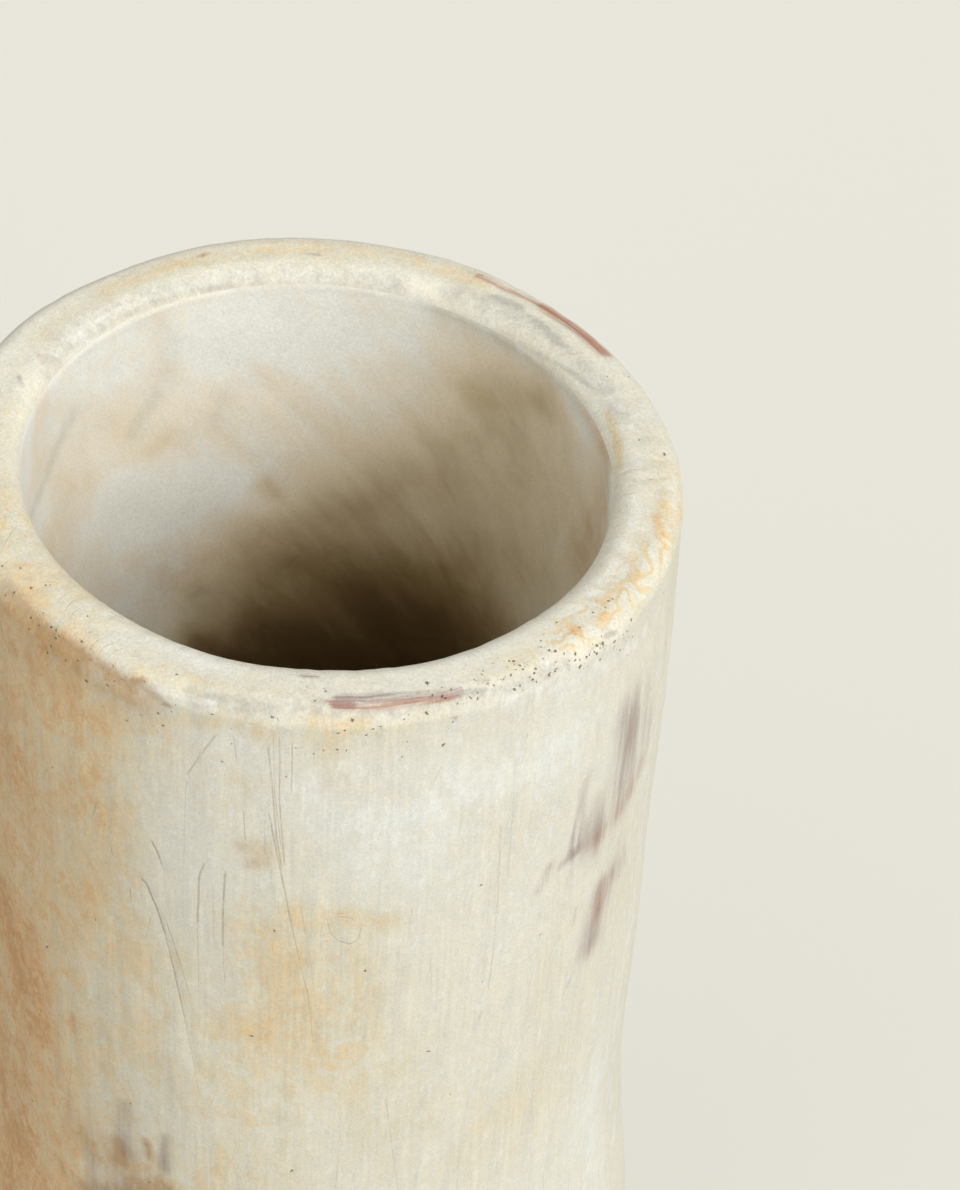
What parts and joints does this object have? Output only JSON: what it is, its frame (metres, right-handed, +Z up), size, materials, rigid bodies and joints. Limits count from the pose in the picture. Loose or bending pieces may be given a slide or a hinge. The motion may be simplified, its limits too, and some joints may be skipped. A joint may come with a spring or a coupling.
{
  "type": "stoneware vase",
  "caption": "Tall round stoneware vase with a thick rounded lip, a slightly slanted mouth and a fuller lower body, open at the top for flowers.",
  "frame": {"origin": "on the surface that the vase stands on, under the centre of its foot", "axes": "+Z up along the vase, -Y towards the front, +X towards the side to which the mouth dips"},
  "size_m": [0.1324, 0.1324, 0.3006],
  "materials": {
    "cream_slip": "matt cream slip, rubbed and stained with ochre, scratched, worn to red-brown clay on the lip",
    "liner_glaze": "pale grey satin glaze with soft brush marks and tan stains",
    "bare_stoneware": "unglazed red-brown fired clay",
    "grey_felt": "pressed grey felt"
  },
  "bodies": {
    "root": {"base_slab": "bare_stoneware", "wall": "bare_stoneware", "floor_coil": "bare_stoneware", "rim_coil": "bare_stoneware", "outer_slip": "cream_slip", "liner_glaze": "liner_glaze", "felt_pad_1": "grey_felt", "felt_pad_2": "grey_felt", "felt_pad_3": "grey_felt", "felt_pad_4": "grey_felt"}
  },
  "joints": []
}
